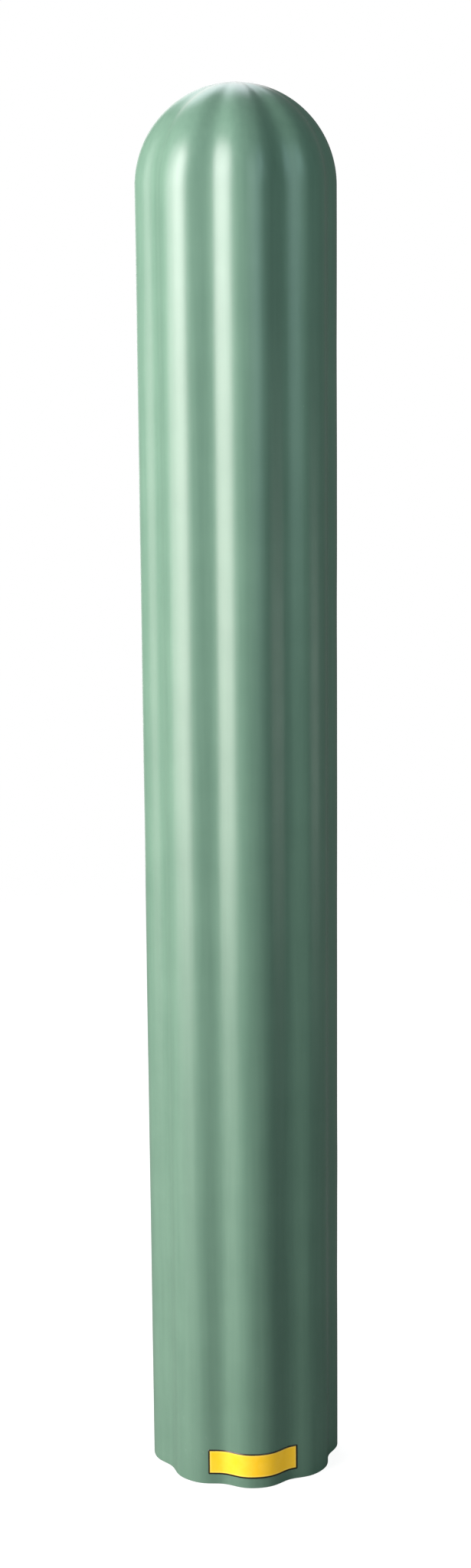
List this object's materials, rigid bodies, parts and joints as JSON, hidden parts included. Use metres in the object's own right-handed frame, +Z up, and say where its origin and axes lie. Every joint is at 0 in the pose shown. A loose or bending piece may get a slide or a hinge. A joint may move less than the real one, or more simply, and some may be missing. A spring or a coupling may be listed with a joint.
{
  "type": "bollard cover sleeve",
  "caption": "Tall fluted plastic sleeve with a domed top and an open base that slides over a round pipe bollard and is held snug by foam strips inside.",
  "frame": {"origin": "middle of the bottom rim, on the ground", "axes": "+Z up along the sleeve's axis to the dome, -Y towards the front crest that carries the label"},
  "size_m": [0.197, 0.1974, 1.422],
  "materials": {
    "green_plastic": "satin moulded polyethylene, sage green, faint orange peel",
    "label_film": "plain yellow vinyl film with a thin dark border",
    "foam_tape": "dark closed-cell foam, fine pores"
  },
  "bodies": {
    "root": {"sleeve_shell": "green_plastic", "label": "label_film", "foam_strip_lower_1": "foam_tape", "foam_strip_lower_2": "foam_tape", "foam_strip_lower_3": "foam_tape", "foam_strip_lower_4": "foam_tape", "foam_strip_upper_1": "foam_tape", "foam_strip_upper_2": "foam_tape", "foam_strip_upper_3": "foam_tape", "foam_strip_upper_4": "foam_tape"}
  },
  "joints": []
}
